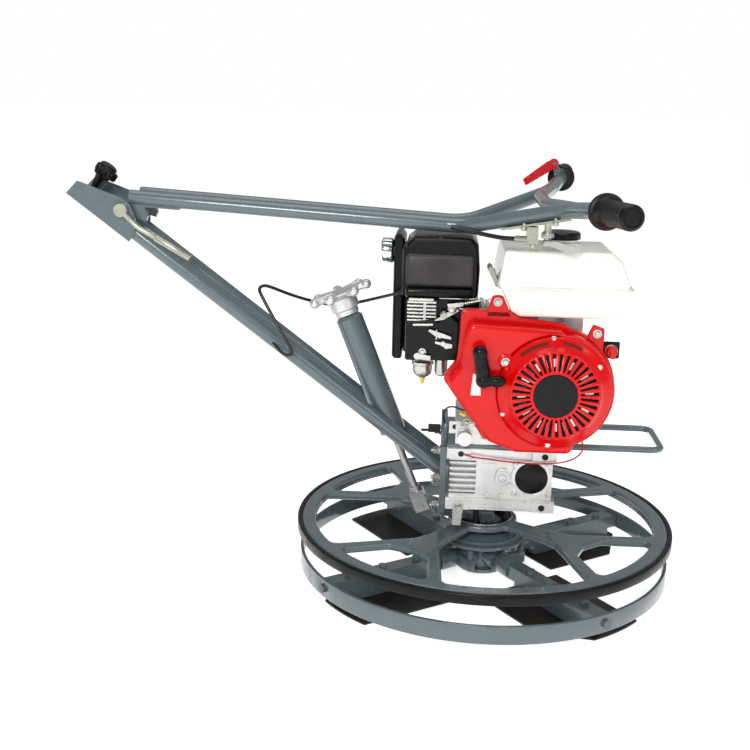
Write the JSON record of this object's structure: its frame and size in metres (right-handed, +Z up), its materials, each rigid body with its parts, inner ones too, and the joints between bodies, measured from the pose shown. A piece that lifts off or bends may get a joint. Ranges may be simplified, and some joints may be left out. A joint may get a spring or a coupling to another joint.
{
  "type": "power trowel",
  "caption": "Walk-behind edging power trowel with a round guard, bladed rotor, worm gearbox, petrol engine and a folding tubular handle.",
  "frame": {"origin": "on the slab, under the middle of the folded machine's length and width", "axes": "+X from the handle's fold towards the engine's fuel-tank end, +Y away from the recoil starter, +Z up"},
  "size_m": [0.9502, 0.7962, 0.648],
  "materials": {
    "grey_paint": "satin blue-grey enamel",
    "red_paint": "gloss red enamel",
    "black_paint": "satin black",
    "cast_alloy": "as-cast alloy, lightly sanded faces",
    "zinc": "bright zinc plate",
    "steel": "machined steel",
    "dark_steel": "oiled dark spring steel",
    "chrome": "bright",
    "tank_white": "gloss cream white",
    "black_plastic": "moulded, satin",
    "rubber": "moulded, matt",
    "tyre": "smooth black band",
    "red_plastic": "gloss red",
    "wire_red": "red insulation",
    "wire_black": "black sheath"
  },
  "bodies": {
    "frame": {"gearbox_housing": "cast_alloy", "gearbox_bearing_cap": "black_plastic", "guard_bearing": "black_paint", "rail_bracket_plate": "grey_paint", "lower_rail_front": "grey_paint", "lower_rail_rear": "grey_paint", "pitch_column": "grey_paint", "head_bracket": "grey_paint", "engine_base_plate": "grey_paint", "lifting_bail": "grey_paint", "crankcase": "cast_alloy", "blower_housing": "red_paint", "recoil_cover": "red_paint", "fuel_tank": "tank_white", "air_cleaner": "black_plastic", "muffler": "black_paint", "exhaust_outlet": "chrome", "control_cover": "black_plastic", "carburettor": "cast_alloy", "governor_linkage": "zinc", "belt_guard": "black_paint", "drive_belt": "rubber", "frame_fasteners": "zinc", "throttle_cable_lower": "wire_black", "stop_wire_red": "wire_red", "stop_wire_black": "wire_black"},
    "guard": {"guard_ring": "grey_paint", "guard_ring_tyre": "tyre"},
    "rotor": {"output_shaft": "steel", "spider_hub": "grey_paint", "stabiliser_ring": "grey_paint", "stabiliser_ring_bolts": "zinc"},
    "worm": {"worm_shaft": "steel"},
    "crank": {"crankshaft": "steel"},
    "wheel": {"pitch_handwheel": "cast_alloy"},
    "lift_rod": {"pitch_rod": "steel"},
    "yoke": {"pitch_yoke": "grey_paint"},
    "collar": {"thrust_collar": "grey_paint"},
    "handle": {"handle_frame": "grey_paint", "grip_near": "rubber", "grip_far": "rubber", "throttle_bracket": "zinc", "throttle_cable_upper": "wire_black"},
    "throttle": {"throttle_lever": "zinc"},
    "stop": {"stop_lever": "red_plastic"},
    "fold_lock": {"fold_lock_lever": "zinc"},
    "knob": {"clamp_knob": "black_plastic"},
    "starter": {"recoil_grip": "black_plastic"},
    "switch": {"kill_switch": "red_plastic"},
    "cap": {"fuel_cap": "black_plastic"},
    "choke": {"choke_lever": "zinc"},
    "valve": {"fuel_valve_lever": "zinc"},
    "arm_1": {"trowel_arm_1": "grey_paint", "trowel_blade_1": "dark_steel"},
    "arm_2": {"trowel_arm_2": "grey_paint", "trowel_blade_2": "dark_steel"},
    "arm_3": {"trowel_arm_3": "grey_paint", "trowel_blade_3": "dark_steel"},
    "arm_4": {"trowel_arm_4": "grey_paint", "trowel_blade_4": "dark_steel"}
  },
  "joints": [
    {"name": "handle_fold", "type": "hinge", "parent": "frame", "child": "handle", "pos_m": [-0.3899, 0, 0.5733], "axis": [0, -1, 0], "range_deg": [0, 146.4]},
    {"name": "guard_ring_spin", "type": "hinge", "parent": "frame", "child": "guard", "pos_m": [0.1751, 0, 0.083], "axis": [0, 0, 1], "continuous": true},
    {"name": "rotor_spin", "type": "hinge", "parent": "frame", "child": "rotor", "pos_m": [0.1751, 0, 0.029], "axis": [0, 0, 1], "continuous": true},
    {"name": "worm_spin", "type": "hinge", "parent": "frame", "child": "worm", "pos_m": [0.2441, 0, 0.1825], "axis": [0, 1, 0], "continuous": true},
    {"name": "crank_spin", "type": "hinge", "parent": "frame", "child": "crank", "pos_m": [0.2636, 0, 0.339], "axis": [0, 1, 0], "continuous": true},
    {"name": "pitch_wheel_turn", "type": "hinge", "parent": "frame", "child": "wheel", "pos_m": [-0.0636, 0, 0.4517], "axis": [-0.3714, 0, 0.9285], "range_deg": [0, 1440]},
    {"name": "pitch_rod_slide", "type": "slide", "parent": "frame", "child": "lift_rod", "axis": [-0.3714, 0, 0.9285], "range_m": [0, 0.008]},
    {"name": "pitch_yoke_turn", "type": "hinge", "parent": "frame", "child": "yoke", "pos_m": [0.1231, 0, 0.103], "axis": [0, 1, 0], "range_deg": [0, 9.17]},
    {"name": "thrust_collar_slide", "type": "slide", "parent": "frame", "child": "collar", "axis": [0, 0, -1], "range_m": [0, 0.00832]},
    {"name": "arm_pitch_1", "type": "hinge", "parent": "rotor", "child": "arm_1", "pos_m": [0.1751, 0, 0.029], "axis": [-0.8151, -0.5793, 0], "range_deg": [0, 12]},
    {"name": "arm_pitch_2", "type": "hinge", "parent": "rotor", "child": "arm_2", "pos_m": [0.1751, 0, 0.029], "axis": [0.5793, -0.8151, 0], "range_deg": [0, 12]},
    {"name": "arm_pitch_3", "type": "hinge", "parent": "rotor", "child": "arm_3", "pos_m": [0.1751, 0, 0.029], "axis": [0.8151, 0.5793, 0], "range_deg": [0, 12]},
    {"name": "arm_pitch_4", "type": "hinge", "parent": "rotor", "child": "arm_4", "pos_m": [0.1751, 0, 0.029], "axis": [-0.5793, 0.8151, 0], "range_deg": [0, 12]},
    {"name": "recoil_pull", "type": "slide", "parent": "frame", "child": "starter", "axis": [0, -1, 0], "range_m": [0, 0.45], "stiffness_N_per_m": 20},
    {"name": "kill_switch_turn", "type": "hinge", "parent": "frame", "child": "switch", "pos_m": [0.3451, -0.114, 0.396], "axis": [0, -1, 0], "range_deg": [0, 60]},
    {"name": "fuel_cap_turn", "type": "hinge", "parent": "frame", "child": "cap", "pos_m": [0.2731, -0.014, 0.551], "axis": [0, 0, 1], "range_deg": [0, 90]},
    {"name": "choke_turn", "type": "hinge", "parent": "frame", "child": "choke", "pos_m": [0.0961, -0.082, 0.404], "axis": [0, 1, 0], "range_deg": [0, 50]},
    {"name": "fuel_valve_turn", "type": "hinge", "parent": "frame", "child": "valve", "pos_m": [0.0631, -0.082, 0.372], "axis": [0, 1, 0], "range_deg": [0, 60]},
    {"name": "throttle_turn", "type": "hinge", "parent": "handle", "child": "throttle", "pos_m": [0.2421, -0.128, 0.552], "axis": [0, 0, -1], "range_deg": [0, 40]},
    {"name": "stop_lever_turn", "type": "hinge", "parent": "handle", "child": "stop", "pos_m": [0.2821, 0.271, 0.64], "axis": [0, -1, 0], "range_deg": [0, 35]},
    {"name": "fold_lock_turn", "type": "hinge", "parent": "frame", "child": "fold_lock", "pos_m": [-0.3899, 0, 0.5733], "axis": [0, 1, 0], "range_deg": [0, 60]},
    {"name": "clamp_knob_turn", "type": "hinge", "parent": "frame", "child": "knob", "pos_m": [-0.43781, 0, 0.61108], "axis": [0.6024, 0, 0.7982], "range_deg": [0, 360]}
  ],
  "couplings": [
    {"joint": "worm_spin", "follows": "rotor_spin", "ratio": 20},
    {"joint": "crank_spin", "follows": "rotor_spin", "ratio": 23.5},
    {"joint": "pitch_rod_slide", "follows": "pitch_wheel_turn", "m_per_rad": 0.00031831},
    {"joint": "pitch_yoke_turn", "follows": "pitch_wheel_turn", "ratio": 0.0063681},
    {"joint": "thrust_collar_slide", "follows": "pitch_wheel_turn", "m_per_rad": 0.00033104},
    {"joint": "arm_pitch_1", "follows": "pitch_wheel_turn", "ratio": 0.0083333},
    {"joint": "arm_pitch_2", "follows": "pitch_wheel_turn", "ratio": 0.0083333},
    {"joint": "arm_pitch_3", "follows": "pitch_wheel_turn", "ratio": 0.0083333},
    {"joint": "arm_pitch_4", "follows": "pitch_wheel_turn", "ratio": 0.0083333}
  ]
}
